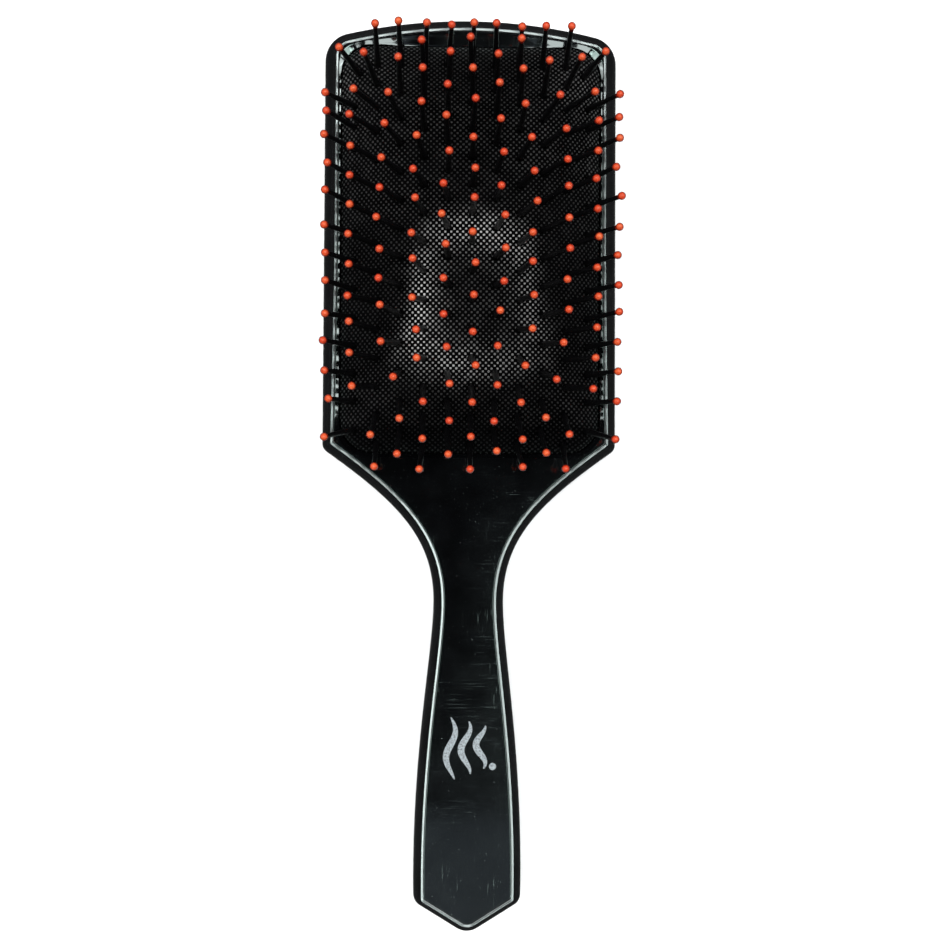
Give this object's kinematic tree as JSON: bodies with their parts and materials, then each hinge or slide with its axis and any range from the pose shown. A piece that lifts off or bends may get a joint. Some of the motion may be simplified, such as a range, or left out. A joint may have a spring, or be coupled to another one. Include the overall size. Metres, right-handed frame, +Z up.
{
  "type": "paddle hair brush",
  "caption": "Wide flat paddle hair brush: a moulded body with an inset face plate, a sprung rubber air cushion and ball-tipped pins that sink with it.",
  "frame": {"origin": "under the middle of the brush's bounding box, on the surface it lies on", "axes": "+Z up out of the pins, +Y from the handle towards the head, X across; the brush is a mirror image of itself in X"},
  "size_m": [0.079, 0.245, 0.0406],
  "materials": {
    "body": "black gloss moulding",
    "face_plate": "black, satin to gloss, with faint handling scratches",
    "cushion": "black rubber with a fine moulded dot texture",
    "pins": "black nylon shafts",
    "pin_tips": "orange-red ball tips"
  },
  "bodies": {
    "body": {"body_shell": "body", "face_plate": "face_plate", "cushion_pad": "cushion"},
    "pins_centre": {"pins_ring5_middle": "pins", "pins_ring4_left": "pins", "pins_ring4_right": "pins", "pins_ring4_top": "pins", "pins_ring4_bottom": "pins"},
    "pins_ring3": {"pins_ring3_left": "pins", "pins_ring3_right": "pins", "pins_ring3_top": "pins", "pins_ring3_bottom": "pins"},
    "pins_ring2": {"pins_ring2_left": "pins", "pins_ring2_right": "pins", "pins_ring2_top": "pins", "pins_ring2_bottom": "pins"},
    "pins_ring1": {"pins_ring1_left": "pins", "pins_ring1_right": "pins", "pins_ring1_top": "pins", "pins_ring1_bottom": "pins"},
    "pins_ring0": {"pins_ring0_left": "pins", "pins_ring0_right": "pins", "pins_ring0_top": "pins", "pins_ring0_bottom": "pins"}
  },
  "joints": [
    {"name": "centre_press", "type": "slide", "parent": "body", "child": "pins_centre", "axis": [0, 0, -1], "range_m": [0, 0.005], "stiffness_N_per_m": 800, "deforming": ["cushion_pad"]},
    {"name": "ring3_press", "type": "slide", "parent": "body", "child": "pins_ring3", "axis": [0, 0, -1], "range_m": [0, 0.00458], "stiffness_N_per_m": 700},
    {"name": "ring2_press", "type": "slide", "parent": "body", "child": "pins_ring2", "axis": [0, 0, -1], "range_m": [0, 0.00397], "stiffness_N_per_m": 600},
    {"name": "ring1_press", "type": "slide", "parent": "body", "child": "pins_ring1", "axis": [0, 0, -1], "range_m": [0, 0.003], "stiffness_N_per_m": 500},
    {"name": "ring0_press", "type": "slide", "parent": "body", "child": "pins_ring0", "axis": [0, 0, -1], "range_m": [0, 0.00177], "stiffness_N_per_m": 400}
  ],
  "couplings": [
    {"joint": "ring3_press", "follows": "centre_press", "ratio": 0.915},
    {"joint": "ring2_press", "follows": "centre_press", "ratio": 0.792},
    {"joint": "ring1_press", "follows": "centre_press", "ratio": 0.599},
    {"joint": "ring0_press", "follows": "centre_press", "ratio": 0.352}
  ]
}
